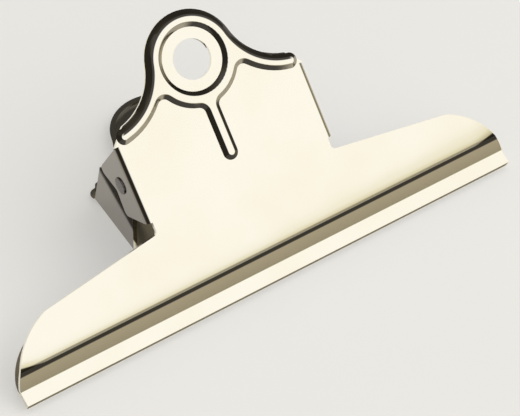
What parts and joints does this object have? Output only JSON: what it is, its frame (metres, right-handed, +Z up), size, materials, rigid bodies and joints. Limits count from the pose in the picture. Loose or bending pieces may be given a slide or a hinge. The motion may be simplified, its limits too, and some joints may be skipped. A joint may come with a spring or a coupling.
{
  "type": "bulldog clip",
  "caption": "Polished bulldog clip: pressed jaws with ribbed ring handles and folded ears, hinged on a pin and held shut by a coil spring.",
  "frame": {"origin": "on the table, under the middle of the clip as it lies on its rear jaw", "axes": "+X along the lips, +Y from the lips to the handles, +Z up from the table"},
  "size_m": [0.075, 0.0378, 0.0284],
  "materials": {
    "plated_sheet": "polished",
    "pin_steel": "satin",
    "spring_steel": "satin"
  },
  "bodies": {
    "rear": {"rear_jaw": "plated_sheet", "torsion_spring": "spring_steel"},
    "front": {"front_jaw": "plated_sheet", "hinge_pin": "pin_steel"}
  },
  "joints": [
    {"name": "jaw_hinge", "type": "hinge", "parent": "rear", "child": "front", "pos_m": [0, -0.00295, 0.01318], "axis": [-1, 0, 0], "range_deg": [0, 60], "stiffness_Nm_per_rad": 0.14, "springref_deg": -80.21, "deforming": ["torsion_spring"]}
  ]
}
